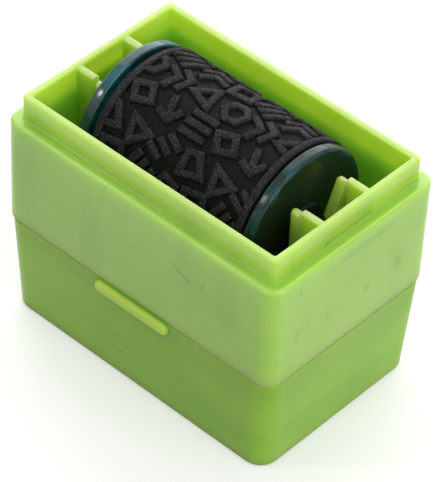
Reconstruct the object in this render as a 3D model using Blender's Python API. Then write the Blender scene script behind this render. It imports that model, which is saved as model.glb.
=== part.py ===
"""Roller stamp for blacking out addresses, standing on its cap with the roller facing up.

The frame: the origin is the middle of the cap's underside, +X runs along the roller, +Z is up
and the cap's thumb lip faces -Y. Lengths are metres.
"""
import math

import bmesh
import bpy
import numpy as np
from mathutils import Matrix, Vector
from mathutils.geometry import delaunay_2d_cdt

MM = 0.001

# Roller: its layers from the outside in, and its ends
DIE_RADIUS = 14.0 * MM
DIE_LENGTH = 32.7 * MM
DIE_THICKNESS = 1.6 * MM
DIE_EDGE_RADIUS = 0.5 * MM
DIE_SLACK = 1.0 * MM
FELT_THICKNESS = 2.2 * MM
CORE_WALL = 1.6 * MM
PLUG_WALL = 1.2 * MM
PLUG_LENGTH = 5.0 * MM
FLANGE_BELOW_DIE = 0.35 * MM
FLANGE_THICKNESS = 2.05 * MM
FLANGE_EDGE_RADIUS = 0.25 * MM
COLLAR_LENGTH = 2.6 * MM
HUB_RADIUS = 4.0 * MM
HUB_LENGTH = 0.65 * MM
STUB_RADIUS = 2.35 * MM
STUB_PAST_FORK = 0.2 * MM
STUB_EDGE_RADIUS = 0.3 * MM
END_PLAY = 0.7 * MM
ROLLER_OFF_CENTRE = 0.4 * MM

# Relief of the printing sleeve: raised marks drawn with strokes, between two plain end bands
RELIEF_DEPTH = 0.65 * MM
RELIEF_SLOPE = 0.15 * MM
STROKE_WIDTH = 1.25 * MM
MARK_SIZE = 5.4 * MM
MARK_COLUMNS = 15
MARK_ROWS = 5
END_BAND = 1.3 * MM
SLEEVE_SEAM = 0.6 * MM
LONGEST_CHORD = 3.0 * MM

# Cradle: two forks on a base plate, dropped into the well
FORK_THICKNESS = 2.0 * MM
FORK_WIDTH = 12.3 * MM
FORK_BELOW_RIM = 0.8 * MM
FORK_INNER_EDGE_RADIUS = 0.6 * MM
FORK_OUTER_EDGE_RADIUS = 0.2 * MM
HORN_WIDTH = 1.55 * MM
THROAT_BITE = 0.2 * MM
BASE_THICKNESS = 1.4 * MM
BASE_CORNER_RADIUS = 1.2 * MM

# Body: the well round the roller, the outer walls and the rims at its two ends
WELL_UNDER_ROLLER = 3.6 * MM
WELL_BESIDE_ROLLER = 2.3 * MM
WELL_CORNER_RADIUS = 0.5 * MM
WELL_FLOOR = 1.5 * MM
WELL_FLOOR_FILLET = 0.6 * MM
AXIS_BELOW_RIM = 9.0 * MM
RIM_WALL = 1.3 * MM
RIM_HEIGHT = 4.6 * MM
RIM_EDGE_RADIUS = 0.3 * MM
RIM_FOOT_RADIUS = 0.35 * MM
REAR_RIM_HEIGHT = 4.2 * MM
LEDGE_WIDTH = 2.1 * MM
LEDGE_EDGE_RADIUS = 0.7 * MM
BODY_CORNER_RADIUS = 2.9 * MM
BODY_DRAFT = 0.1 * MM
SEAM_EDGE_RADIUS = 0.1 * MM

# Ribs that back the forks, moulded with the body
RIB_LENGTH = 3.75 * MM
RIB_THICKNESS = 1.4 * MM
RIB_BELOW_RIM = 0.1 * MM
RIB_CREST_RADIUS = 0.35 * MM

# Snap recesses in the short sides of both rims, and the beads of the cap that enter them
RECESS_LENGTH = 11.6 * MM
RECESS_HEIGHT = 2.6 * MM
RECESS_DEPTH = 0.35 * MM
RECESS_FROM_LEDGE = 0.3 * MM
BEAD_SHORTER = 1.2 * MM
BEAD_RADIUS = 0.7 * MM
BEAD_HEIGHT = 0.2 * MM

# Cap, posted on the rear rim
CAP_HEIGHT = 20.1 * MM
CAP_SHY_OF_BODY = 0.1 * MM
CAP_TAPER = 1.0 * MM
CAP_CORNER_RADIUS = 3.6 * MM
CAP_MOUTH_SPARE = 0.8 * MM
CAP_STEP = 0.3 * MM
CAP_STEP_SLOPE = 0.5 * MM
CAP_FLOOR = 1.8 * MM
CAP_FLOOR_FILLET = 1.0 * MM
CAP_BOTTOM_RADIUS = 0.6 * MM
CAP_MOUTH_EDGE_RADIUS = 0.1 * MM

# Thumb lip of the cap
LIP_LENGTH = 16.4 * MM
LIP_HEIGHT = 2.2 * MM
LIP_REACH = 1.05 * MM
LIP_EDGE_RADIUS = 0.8 * MM

# Clearances between pieces
SEAM_GAP = 0.3 * MM
SEAT_GAP = 0.3 * MM
SLEEVE_GAP = 0.3 * MM
RIM_GAP = 0.5 * MM

# Overrun of joined and cut pieces, and the counts that set how smooth round forms are
OVERRUN = 0.5 * MM
SMOOTH_ANGLE = math.radians(40.0)
CORNER_STEPS = 7
EDGE_STEPS = 3
BOTTOM_STEPS = 5
SMALL_EDGE_STEPS = 2
TURN_STEPS = 48
SLEEVE_STEPS = 36
SLOT_STEPS = 14

# Radii of the roller's layers, each one clearance inside the last
FLANGE_RADIUS = DIE_RADIUS - FLANGE_BELOW_DIE
DIE_INNER_RADIUS = DIE_RADIUS - DIE_THICKNESS
COLLAR_RADIUS = DIE_INNER_RADIUS - SLEEVE_GAP
FELT_OUTER_RADIUS = DIE_INNER_RADIUS - SLEEVE_GAP
FELT_INNER_RADIUS = FELT_OUTER_RADIUS - FELT_THICKNESS
CORE_OUTER_RADIUS = FELT_INNER_RADIUS - SLEEVE_GAP
CORE_INNER_RADIUS = CORE_OUTER_RADIUS - CORE_WALL
PLUG_RADIUS = CORE_INNER_RADIUS - SLEEVE_GAP
SEAT_RADIUS = STUB_RADIUS + SEAT_GAP

# The sleeve's outside unrolled: its length round, half the relief's length, and how near points merge
SLEEVE_ROUND = math.tau * DIE_RADIUS
RELIEF_HALF = DIE_LENGTH / 2 - END_BAND
SAME_POINT = RELIEF_SLOPE / 1000

# Places along X, from the middle of the roller outwards
FLANGE_INNER_X = (DIE_LENGTH + DIE_SLACK) / 2 + SLEEVE_GAP
COLLAR_X = FLANGE_INNER_X - COLLAR_LENGTH
FLANGE_OUTER_X = FLANGE_INNER_X + FLANGE_THICKNESS
HUB_X = FLANGE_OUTER_X + HUB_LENGTH
FORK_INNER_X = HUB_X + END_PLAY
FORK_OUTER_X = FORK_INNER_X + FORK_THICKNESS
STUB_TIP_X = FORK_OUTER_X + STUB_PAST_FORK
RIB_INNER_X = FORK_OUTER_X + SEAT_GAP
WELL_HALF_X = RIB_INNER_X + RIB_LENGTH
RIM_HALF_X = WELL_HALF_X + RIM_WALL
BODY_HALF_X = RIM_HALF_X + LEDGE_WIDTH

# Places along Y
WELL_HALF_Y = DIE_RADIUS + WELL_BESIDE_ROLLER
BODY_HALF_Y = WELL_HALF_Y + RIM_WALL + LEDGE_WIDTH
RIB_Y = (FORK_WIDTH - RIB_THICKNESS) / 2

# Heights, from the ground up
SEAM_Z = CAP_HEIGHT + SEAM_GAP
REAR_RIM_Z = SEAM_Z - REAR_RIM_HEIGHT
WELL_FLOOR_Z = REAR_RIM_Z + WELL_FLOOR
BASE_Z = WELL_FLOOR_Z + SEAT_GAP
BASE_TOP_Z = BASE_Z + BASE_THICKNESS
AXIS_Z = BASE_TOP_Z + WELL_UNDER_ROLLER + DIE_RADIUS
RIM_Z = AXIS_Z + AXIS_BELOW_RIM
LEDGE_Z = RIM_Z - RIM_HEIGHT
RIB_CREST_Z = RIM_Z - RIB_BELOW_RIM
FORK_TOP_Z = RIM_Z - FORK_BELOW_RIM

# Insets from the body's outside, and heights of the cap's mouth
WELL_INSET = LEDGE_WIDTH + RIM_WALL
CAP_MOUTH_INSET = LEDGE_WIDTH - RIM_GAP
CAP_WALL = CAP_MOUTH_INSET - CAP_SHY_OF_BODY + CAP_STEP
CAP_STEP_Z = REAR_RIM_Z - CAP_MOUTH_SPARE - CAP_STEP_SLOPE
BEAD_LENGTH = RECESS_LENGTH - BEAD_SHORTER

# Strokes of each mark as paths, in shares of half the mark's size; a path that ends where it starts
# is closed
MARK_SHARES = {
    "chevrons": [
        [(-0.96, -0.05), (0.0, 0.69), (0.96, -0.05)],
        [(-0.96, -0.91), (0.0, -0.17), (0.96, -0.91)],
    ],
    "bars": [[(-0.96, level), (0.96, level)] for level in (-0.71, 0.0, 0.71)],
    "slants": [
        [(-0.47, 0.74), (0.87, 0.74)],
        [(-0.67, 0.0), (0.67, 0.0)],
        [(-0.87, -0.74), (0.47, -0.74)],
    ],
    "diamond": [[(0.0, 0.91), (-0.75, 0.0), (0.0, -0.91), (0.75, 0.0), (0.0, 0.91)]],
    "triangle": [[(0.0, 0.82), (-0.82, -0.57), (0.82, -0.57), (0.0, 0.82)]],
    "square": [[(-0.71, -0.71), (0.71, -0.71), (0.71, 0.71), (-0.71, 0.71), (-0.71, -0.71)]],
    "hexagon": [[(0.8, 0.0), (0.4, 0.7), (-0.4, 0.7), (-0.8, 0.0), (-0.4, -0.7), (0.4, -0.7), (0.8, 0.0)]],
    "arrow": [[(-0.81, 0.1), (0.0, 0.76), (0.81, 0.1)], [(0.0, -0.96), (0.0, 0.48)]],
    "trapezium": [[(-0.42, 0.68), (-0.8, -0.68), (0.8, -0.68), (0.42, 0.68), (-0.42, 0.68)]],
}

# Marks of four columns, each with its turn in degrees, repeated along and round the sleeve
MARK_LAYOUT = (
    (("chevrons", 20), ("square", 10), ("bars", 60)),
    (("trapezium", 15), ("triangle", 40), ("slants", -30)),
    (("bars", 0), ("diamond", 70), ("arrow", 200)),
    (("hexagon", 10), ("chevrons", -70), ("triangle", -20)),
)

# Colours as linear RGB
LIME = (0.26, 0.56, 0.045, 1.0)
TEAL = (0.018, 0.085, 0.095, 1.0)
RUBBER_BLACK = (0.03, 0.03, 0.032, 1.0)
FELT_BLACK = (0.012, 0.012, 0.014, 1.0)
CORE_GREY = (0.07, 0.10, 0.11, 1.0)


def make_material(name, colour, roughness):
    """Make a Principled material of one colour."""
    material = bpy.data.materials.new(name)
    material.use_nodes = True
    shader = material.node_tree.nodes["Principled BSDF"]
    shader.inputs["Base Color"].default_value = colour
    shader.inputs["Roughness"].default_value = roughness
    shader.inputs["Metallic"].default_value = 0.0
    material.diffuse_color = colour
    return material


def make_mesh(name, bm):
    """Turn a bmesh into a mesh with outward faces, smooth where its faces bend gently."""
    bmesh.ops.recalc_face_normals(bm, faces=bm.faces[:])
    for face in bm.faces:
        face.smooth = True
    for edge in bm.edges:
        edge.smooth = edge.calc_face_angle(math.pi) < SMOOTH_ANGLE
    mesh = bpy.data.meshes.new(name)
    bm.to_mesh(mesh)
    bm.free()
    return mesh


def make_object(name, bm, material=None):
    """Turn a bmesh into an object of the scene."""
    mesh = make_mesh(name, bm)
    thing = bpy.data.objects.new(name, mesh)
    bpy.context.scene.collection.objects.link(thing)
    if material:
        mesh.materials.append(material)
    return thing


def combine(target, tool, operation):
    """Join a tool solid to a target or cut it away, and leave the target as one plain mesh.

    The result is cut into triangles, which stay flat, so that the next change meets clean faces.
    """
    change = target.modifiers.new(tool.name, "BOOLEAN")
    change.operation = operation
    change.solver = "EXACT"
    change.object = tool
    graph = bpy.context.evaluated_depsgraph_get()
    bm = bmesh.new()
    bm.from_object(target, graph)
    bmesh.ops.triangulate(bm, faces=bm.faces[:])
    material = target.data.materials[0]
    target.modifiers.clear()
    target.data = make_mesh(target.name, bm)
    target.data.materials.append(material)
    bpy.data.objects.remove(tool)


def arc(centre, radius, start, end, steps):
    """Points of an arc in a plane, from the start angle to the end angle in degrees."""
    points = []
    for step in range(steps + 1):
        angle = math.radians(start + (end - start) * step / steps)
        points.append((centre[0] + radius * math.cos(angle), centre[1] + radius * math.sin(angle)))
    return points


def rounded_rectangle(half_x, half_y, radius):
    """Outline of a rounded rectangle in a plane, anticlockwise, with the same count every time."""
    points = []
    for turn, (side_x, side_y) in enumerate(((1, 1), (-1, 1), (-1, -1), (1, -1))):
        centre = (side_x * (half_x - radius), side_y * (half_y - radius))
        points += arc(centre, radius, 90.0 * turn, 90.0 * turn + 90.0, CORNER_STEPS)
    return points


def loft(bm, rings):
    """Skin a row of closed rings with quads and close both ends with one face each."""
    rows = [[bm.verts.new(point) for point in ring] for ring in rings]
    for low, high in zip(rows, rows[1:]):
        for i in range(len(low)):
            j = (i + 1) % len(low)
            bm.faces.new((low[i], low[j], high[j], high[i]))
    bm.faces.new(reversed(rows[0]))
    bm.faces.new(rows[-1])


def shell_rings(corner_radius, section, inset_at):
    """Rings round the stamp, one for each (inset, height) of a wall's section.

    The corners keep their radius along the outside, whose inset at a height the last argument gives.
    """
    rings = []
    for inset, height in section:
        radius = max(corner_radius - inset + inset_at(height), WELL_CORNER_RADIUS)
        outline = rounded_rectangle(BODY_HALF_X - inset, BODY_HALF_Y - inset, radius)
        rings.append([(x, y, height) for x, y in outline])
    return rings


def extrude_outline(outline, to_space, depth):
    """Solid between a flat outline and its copy one depth further along the outline's normal."""
    bm = bmesh.new()
    near = [bm.verts.new(to_space(u, v, 0.0)) for u, v in outline]
    far = [bm.verts.new(to_space(u, v, depth)) for u, v in outline]
    bm.faces.new(near)
    bm.faces.new(reversed(far))
    for i in range(len(near)):
        j = (i + 1) % len(near)
        bm.faces.new((near[i], far[i], far[j], near[j]))
    bmesh.ops.recalc_face_normals(bm, faces=bm.faces[:])
    return bm


def block(low, high):
    """Box between two corners."""
    bm = bmesh.new()
    size = Vector(high) - Vector(low)
    centre = (Vector(high) + Vector(low)) / 2
    bmesh.ops.create_cube(bm, size=1.0, matrix=Matrix.Translation(centre) @ Matrix.Diagonal(size.to_4d()))
    return bm


def bevel_where(bm, wanted, radius):
    """Round the edges that the test picks."""
    edges = [edge for edge in bm.edges if wanted(edge)]
    bmesh.ops.bevel(
        bm,
        geom=edges,
        offset=radius,
        segments=EDGE_STEPS,
        profile=0.5,
        affect="EDGES",
        clamp_overlap=True,
    )


def revolve(profile, steps, mirrored=False):
    """Solid of revolution about X from (x, radius) points; a ring if the profile is off the axis."""
    side = -1 if mirrored else 1
    bm = bmesh.new()
    verts = [bm.verts.new((side * x, 0.0, radius)) for x, radius in profile]
    edges = [bm.edges.new(pair) for pair in zip(verts, verts[1:])]
    on_axis = profile[0][1] == 0.0
    if not on_axis:
        edges.append(bm.edges.new((verts[-1], verts[0])))
    bmesh.ops.spin(
        bm,
        geom=verts + edges,
        cent=(0.0, 0.0, 0.0),
        axis=(1.0, 0.0, 0.0),
        angle=math.tau,
        steps=steps,
        use_merge=True,
    )
    bmesh.ops.remove_doubles(bm, verts=bm.verts[:], dist=SLEEVE_GAP / steps)
    return bm


def plain_sleeve(inner_radius, outer_radius):
    """Section of a square-edged sleeve that fills the length between the end caps' collars."""
    half = COLLAR_X - SLEEVE_GAP
    return [(-half, inner_radius), (-half, outer_radius), (half, outer_radius), (half, inner_radius)]


def stroke_paths():
    """Middle lines of all strokes, as (along, round) on the unrolled sleeve."""
    paths = []
    for column in range(MARK_COLUMNS):
        kinds = MARK_LAYOUT[column % len(MARK_LAYOUT)]
        stagger = (column % 2) / 2
        middle_round = SLEEVE_ROUND * (column + 0.5) / MARK_COLUMNS
        for row in range(-1, MARK_ROWS + 1):
            kind, turn = kinds[(row + column // len(MARK_LAYOUT)) % len(kinds)]
            along = 2 * RELIEF_HALF * ((row + 0.5 + stagger) / MARK_ROWS - 0.5)
            place = Matrix.Translation((along, middle_round, 0.0))
            place = place @ Matrix.Rotation(math.radians(turn), 4, "Z")
            for path in MARK_SHARES[kind]:
                points = [place @ (Vector((*point, 0.0)) * MARK_SIZE / 2) for point in path]
                paths.append([point.to_2d() for point in points])
    return paths


def moved_sideways(path, distance):
    """A path of points moved sideways, mitred where it bends; a closed one comes back without its end."""
    closed = (path[0] - path[-1]).length < SAME_POINT
    points = path[:-1] if closed else path
    normals = [(b - a).orthogonal().normalized() for a, b in zip(path, path[1:])]
    before = normals[-1:] + normals[:-1] if closed else normals[:1] + normals
    after = normals if closed else normals + normals[-1:]
    moved = []
    for point, first, second in zip(points, before, after):
        mitre = (first + second).normalized()
        moved.append(point + mitre * distance / mitre.dot(first))
    return moved


def stroke_outlines(path, grow):
    """Outlines of one stroke grown all round: one for an open path, two for a closed one."""
    side = STROKE_WIDTH / 2 + grow
    if (path[0] - path[-1]).length < SAME_POINT:
        return [moved_sideways(path, side), moved_sideways(path, -side)]
    start = path[0] + (path[0] - path[1]).normalized() * grow
    end = path[-1] + (path[-1] - path[-2]).normalized() * grow
    longer = [start] + path[1:-1] + [end]
    return [moved_sideways(longer, side) + moved_sideways(longer, -side)[::-1]]


def clip_outline(outline, axis, limit, side):
    """The part of an outline on one side of a line across an axis of the unrolled sleeve."""
    kept = []
    for a, b in zip(outline, outline[1:] + outline[:1]):
        a_inside = (a[axis] - limit) * side >= 0
        if a_inside:
            kept.append(a)
        if a_inside != ((b[axis] - limit) * side >= 0):
            crossing = a.lerp(b, (limit - a[axis]) / (b[axis] - a[axis]))
            crossing[axis] = limit
            kept.append(crossing)
    return kept


def printed_outlines(path, grow):
    """Outlines of a stroke, cut off at the end bands and beside the sleeve's seam."""
    seam = SLEEVE_SEAM / 2 + RELIEF_SLOPE - grow
    limits = ((0, RELIEF_HALF, -1), (0, -RELIEF_HALF, 1), (1, seam, 1), (1, SLEEVE_ROUND - seam, -1))
    kept = []
    for outline in stroke_outlines(path, grow):
        for axis, limit, side in limits:
            outline = clip_outline(outline, axis, limit, side)
        if len(outline) > 2:
            kept.append(outline)
    return kept


def split_chords(outline):
    """The outline with points added on edges that run too far round the sleeve to stay flat."""
    points = []
    for a, b in zip(outline, outline[1:] + outline[:1]):
        steps = max(1, math.ceil(abs(b.y - a.y) / LONGEST_CHORD))
        points += [a.lerp(b, step / steps) for step in range(steps)]
    return points


def distance_to_area(points, outlines):
    """Distance of each point to an area's edge, negative inside the area."""
    nearest = np.full(len(points), SLEEVE_ROUND)
    inside = np.zeros(len(points), dtype=bool)
    for outline in outlines:
        for a, b in zip(outline, outline[1:] + outline[:1]):
            run = np.array(b - a)
            if run @ run < SAME_POINT**2:
                continue
            offset = points - np.array(a)
            along = np.clip(offset @ run / (run @ run), 0.0, 1.0)
            nearest = np.minimum(nearest, np.hypot(*(offset - along[:, None] * run).T))
            if run[1] != 0.0:
                crosses = (offset[:, 1] < 0.0) != (offset[:, 1] < run[1])
                inside ^= crosses & (offset[:, 0] < offset[:, 1] * run[0] / run[1])
    return np.where(inside, -nearest, nearest)


def relief_radii(points, areas):
    """Radius of the sleeve at each point of the unrolled relief, with its ends rounded off."""
    to_relief = RELIEF_HALF - np.abs(points[:, 0])
    for outlines in areas:
        to_relief = np.minimum(to_relief, distance_to_area(points, outlines))
    drop = RELIEF_DEPTH * np.clip(to_relief / RELIEF_SLOPE, 0.0, 1.0)
    within_edge = np.clip(DIE_EDGE_RADIUS - DIE_LENGTH / 2 + np.abs(points[:, 0]), 0.0, DIE_EDGE_RADIUS)
    return DIE_RADIUS - drop - DIE_EDGE_RADIUS + np.sqrt(DIE_EDGE_RADIUS**2 - within_edge**2)


def unrolled_relief():
    """Triangles of the sleeve's unrolled outside, and the (along, round) and radius of their points."""
    points = []
    edges = []

    def add_path(path, closed):
        first = len(points)
        points.extend(path)
        edges.extend((i, i + 1) for i in range(first, len(points) - 1))
        if closed:
            edges.append((len(points) - 1, first))

    half = DIE_LENGTH / 2
    edge_points = arc((0.0, 0.0), DIE_EDGE_RADIUS, 90.0, 0.0, SMALL_EDGE_STEPS)
    insets = [DIE_EDGE_RADIUS - along for along, _ in edge_points] + [END_BAND, END_BAND + RELIEF_SLOPE]
    for side in (-1, 1):
        for inset in insets:
            ring = [SLEEVE_ROUND * step / SLEEVE_STEPS for step in range(SLEEVE_STEPS + 1)]
            add_path([Vector((side * (half - inset), around)) for around in ring], False)
    for around in (0.0, SLEEVE_ROUND):
        add_path([Vector((-half, around)), Vector((half, around))], False)
    areas = []
    for path in stroke_paths():
        areas.append(printed_outlines(path, 0.0))
        for grow in (0.0, RELIEF_SLOPE):
            for outline in printed_outlines(path, grow):
                add_path(split_chords(outline), True)
    flat, _, triangles, _, _, _ = delaunay_2d_cdt(points, edges, [], 0, SAME_POINT)
    places = np.array([tuple(point) for point in flat])
    return triangles, places, relief_radii(places, areas)


def make_sleeve():
    """Printing sleeve: the unrolled relief rolled up with its seam below, its ends and its bore."""
    triangles, places, radii = unrolled_relief()
    middle_x = DIE_SLACK / 2
    bm = bmesh.new()
    outer = []
    for (along, around), radius in zip(places, radii):
        angle = around / DIE_RADIUS
        outer.append(bm.verts.new((middle_x + along, -radius * math.sin(angle), -radius * math.cos(angle))))
    for corners in triangles:
        bm.faces.new([outer[i] for i in corners])
    to_seam = np.minimum(places[:, 1], SLEEVE_ROUND - places[:, 1])
    seam = [vert for vert, distance in zip(outer, to_seam) if distance < SAME_POINT]
    bmesh.ops.remove_doubles(bm, verts=seam, dist=SAME_POINT)
    end_edges = [edge for edge in bm.edges if edge.is_boundary]
    outward = bmesh.ops.extrude_edge_only(bm, edges=end_edges)
    for vert in [item for item in outward["geom"] if isinstance(item, bmesh.types.BMVert)]:
        shrink = DIE_INNER_RADIUS / math.hypot(vert.co.y, vert.co.z)
        vert.co = (vert.co.x, vert.co.y * shrink, vert.co.z * shrink)
    bore_edges = [edge for edge in bm.edges if edge.is_boundary]
    bmesh.ops.bridge_loops(bm, edges=bore_edges)
    return bm


def body_section():
    """Section of the body's wall as (inset, height), from the well's floor over the rim and down."""
    edge = RIM_EDGE_RADIUS
    floor_corner = (WELL_INSET + WELL_FLOOR_FILLET, WELL_FLOOR_Z + WELL_FLOOR_FILLET)
    foot_corner = (LEDGE_WIDTH - RIM_FOOT_RADIUS, LEDGE_Z + RIM_FOOT_RADIUS)
    ledge_corner = (LEDGE_EDGE_RADIUS, LEDGE_Z - LEDGE_EDGE_RADIUS)
    seam_corner = (BODY_DRAFT + SEAM_EDGE_RADIUS, SEAM_Z + SEAM_EDGE_RADIUS)
    section = arc(floor_corner, WELL_FLOOR_FILLET, 270.0, 180.0, EDGE_STEPS)
    section += arc((WELL_INSET - edge, RIM_Z - edge), edge, 0.0, 90.0, EDGE_STEPS)
    section += arc((LEDGE_WIDTH + edge, RIM_Z - edge), edge, 90.0, 180.0, EDGE_STEPS)
    section += arc(foot_corner, RIM_FOOT_RADIUS, 0.0, -90.0, EDGE_STEPS)
    section += arc(ledge_corner, LEDGE_EDGE_RADIUS, 90.0, 180.0, EDGE_STEPS)
    section += arc(seam_corner, SEAM_EDGE_RADIUS, 180.0, 270.0, EDGE_STEPS)
    section.append((LEDGE_WIDTH, SEAM_Z))
    section += arc((LEDGE_WIDTH + edge, REAR_RIM_Z + edge), edge, 180.0, 270.0, EDGE_STEPS)
    return section


def make_rib(side_x, side_y):
    """One rib, from inside the end wall to just behind its fork, on the well's floor."""
    ends = sorted((side_x * RIB_INNER_X, side_x * (WELL_HALF_X + OVERRUN)))
    middle_y = side_y * RIB_Y
    low = (ends[0], middle_y - RIB_THICKNESS / 2, WELL_FLOOR_Z - OVERRUN)
    high = (ends[1], middle_y + RIB_THICKNESS / 2, RIB_CREST_Z)
    bm = block(low, high)
    halfway = (RIB_CREST_Z + WELL_FLOOR_Z) / 2

    def is_crest(edge):
        above = all(vert.co.z > halfway for vert in edge.verts)
        along = abs(edge.verts[0].co.x - edge.verts[1].co.x) > RIB_CREST_RADIUS
        return above and along

    bevel_where(bm, is_crest, RIB_CREST_RADIUS)
    return make_object("rib", bm)


def make_recess_cutter(side_x, low_z):
    """Block that cuts one snap recess into the outside of a rim."""
    ends = sorted((side_x * (RIM_HALF_X - RECESS_DEPTH), side_x * (RIM_HALF_X + OVERRUN)))
    low = (ends[0], -RECESS_LENGTH / 2, low_z)
    high = (ends[1], RECESS_LENGTH / 2, low_z + RECESS_HEIGHT)
    return make_object("recess", block(low, high))


def make_body(lime):
    """Open body: the outer wall, a rim at each end, the roller well and its four ribs."""
    bm = bmesh.new()
    loft(bm, shell_rings(BODY_CORNER_RADIUS, body_section(), lambda height: 0.0))
    body = make_object("body_shell", bm, lime)
    front_recess_z = LEDGE_Z + RECESS_FROM_LEDGE
    rear_recess_z = SEAM_Z - RECESS_FROM_LEDGE - RECESS_HEIGHT
    for side_x in (-1, 1):
        for side_y in (-1, 1):
            combine(body, make_rib(side_x, side_y), "UNION")
        for low_z in (front_recess_z, rear_recess_z):
            combine(body, make_recess_cutter(side_x, low_z), "DIFFERENCE")
    return body


def cap_inset_at(height):
    """How far the tapered outside of the cap stands in from the body's side at a height."""
    return CAP_SHY_OF_BODY + CAP_TAPER * (CAP_HEIGHT - height) / CAP_HEIGHT


def cap_section():
    """Section of the cap's wall as (inset, height), from its inner floor over the mouth and down."""
    edge = CAP_MOUTH_EDGE_RADIUS
    fillet = CAP_FLOOR_FILLET
    floor_inset = cap_inset_at(CAP_FLOOR) + CAP_WALL
    section = arc((floor_inset + fillet, CAP_FLOOR + fillet), fillet, 270.0, 180.0, EDGE_STEPS)
    section.append((cap_inset_at(CAP_STEP_Z) + CAP_WALL, CAP_STEP_Z))
    section.append((CAP_MOUTH_INSET, CAP_STEP_Z + CAP_STEP_SLOPE))
    section += arc((CAP_MOUTH_INSET - edge, CAP_HEIGHT - edge), edge, 0.0, 90.0, EDGE_STEPS)
    section += arc((CAP_SHY_OF_BODY + edge, CAP_HEIGHT - edge), edge, 90.0, 180.0, EDGE_STEPS)
    foot_inset = cap_inset_at(CAP_BOTTOM_RADIUS)
    bottom_corner = (foot_inset + CAP_BOTTOM_RADIUS, CAP_BOTTOM_RADIUS)
    section += arc(bottom_corner, CAP_BOTTOM_RADIUS, 180.0, 270.0, BOTTOM_STEPS)
    return section


def make_lip():
    """Thumb lip: a bar with round ends and a rounded front, at the cap's mouth."""
    radius = LIP_HEIGHT / 2
    reach = LIP_LENGTH / 2 - radius
    middle_z = CAP_HEIGHT - CAP_MOUTH_EDGE_RADIUS - radius
    outline = arc((-reach, middle_z), radius, 90.0, 270.0, 2 * CORNER_STEPS)
    outline += arc((reach, middle_z), radius, 270.0, 450.0, 2 * CORNER_STEPS)
    front_y = -(BODY_HALF_Y - CAP_SHY_OF_BODY + LIP_REACH)
    root_y = -(BODY_HALF_Y - (cap_inset_at(middle_z - radius) + CAP_MOUTH_INSET) / 2)
    bm = extrude_outline(outline, lambda u, v, w: (u, front_y + w, v), root_y - front_y)

    def is_front(edge):
        return all(abs(vert.co.y - front_y) < LIP_EDGE_RADIUS for vert in edge.verts)

    bevel_where(bm, is_front, LIP_EDGE_RADIUS)
    return make_object("lip", bm)


def make_bead(side_x):
    """Snap bead: a low rounded ridge inside the cap's mouth, lying in the rear rim's recess."""
    centre_x = BODY_HALF_X - CAP_MOUTH_INSET + BEAD_RADIUS - BEAD_HEIGHT
    middle_z = SEAM_Z - RECESS_FROM_LEDGE - RECESS_HEIGHT / 2
    outline = arc((centre_x, middle_z), BEAD_RADIUS, 90.0, 270.0, CORNER_STEPS)
    bm = extrude_outline(outline, lambda u, v, w: (side_x * u, w - BEAD_LENGTH / 2, v), BEAD_LENGTH)
    return make_object("bead", bm)


def make_cap(lime):
    """Cap with tapering walls, a thumb lip on one long side and two snap beads."""
    bm = bmesh.new()
    loft(bm, shell_rings(CAP_CORNER_RADIUS, cap_section(), cap_inset_at))
    cap = make_object("cap", bm, lime)
    combine(cap, make_lip(), "UNION")
    for side_x in (-1, 1):
        combine(cap, make_bead(side_x), "UNION")
    return cap


def fork_outline():
    """Front view of one fork: two horns with round tips, and the slot that holds a stub."""
    half = FORK_WIDTH / 2
    tip = HORN_WIDTH / 2
    throat = math.degrees(math.acos((STUB_RADIUS - THROAT_BITE) / SEAT_RADIUS))
    right = [(half, BASE_Z + BASE_THICKNESS / 2)]
    right += arc((half - tip, FORK_TOP_Z - tip), tip, 0.0, 180.0, 2 * EDGE_STEPS)
    left = [(-y, z) for y, z in reversed(right)]
    slot = arc((0.0, AXIS_Z), SEAT_RADIUS, throat, -180.0 - throat, SLOT_STEPS)
    return right + slot + left


def make_fork(side_x):
    """One fork of the cradle, with soft edges towards the roller and finer ones behind."""
    near = min(side_x * FORK_INNER_X, side_x * FORK_OUTER_X)
    bm = extrude_outline(fork_outline(), lambda u, v, w: (near + w, u, v), FORK_THICKNESS)

    def rims(face_x):
        def is_rim(edge):
            in_face = all(abs(abs(vert.co.x) - face_x) < SEAT_GAP for vert in edge.verts)
            return in_face and max(vert.co.z for vert in edge.verts) > BASE_TOP_Z

        return is_rim

    bevel_where(bm, rims(FORK_OUTER_X), FORK_OUTER_EDGE_RADIUS)
    bevel_where(bm, rims(FORK_INNER_X), FORK_INNER_EDGE_RADIUS)
    return make_object("fork", bm)


def make_cradle(lime):
    """Cradle: a base plate the size of the well's floor with a fork standing up at each end."""
    base = bmesh.new()
    half_y = WELL_HALF_Y - SEAT_GAP
    outline = rounded_rectangle(FORK_OUTER_X, half_y, BASE_CORNER_RADIUS)
    loft(base, [[(x, y, height) for x, y in outline] for height in (BASE_Z, BASE_TOP_Z)])
    cradle = make_object("roller_cradle", base, lime)
    for side_x in (-1, 1):
        combine(cradle, make_fork(side_x), "UNION")
    return cradle


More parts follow.
